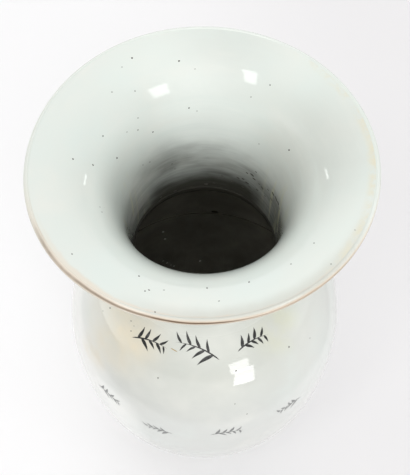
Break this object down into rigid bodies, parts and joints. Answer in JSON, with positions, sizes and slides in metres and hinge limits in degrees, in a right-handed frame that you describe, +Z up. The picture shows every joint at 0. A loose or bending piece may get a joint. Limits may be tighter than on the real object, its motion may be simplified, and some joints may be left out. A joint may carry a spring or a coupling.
{
  "type": "baluster vase",
  "caption": "Tall turned porcelain vase with a full high-shouldered body, short neck, wide trumpet mouth and recessed foot ring, for flowers or display.",
  "frame": {"origin": "centre of the foot ring's resting face, on the axis", "axes": "+Z up along the axis, from the foot to the mouth; the vase is turned, so +X and +Y are free, and the side seen in the picture faces -Y"},
  "size_m": [0.235, 0.235, 0.4699],
  "materials": {
    "porcelain": "pale celadon-white glaze, glossy, bare on the foot ring",
    "luting_slip": "fired slip, matt",
    "iron_brown": "iron-brown dressing, satin"
  },
  "bodies": {
    "root": {"foot_section": "porcelain", "lower_body": "porcelain", "upper_body": "porcelain", "neck_and_mouth": "porcelain", "foot_lute": "luting_slip", "belly_lute": "luting_slip", "neck_lute": "luting_slip", "lip_dressing": "iron_brown"}
  },
  "joints": []
}
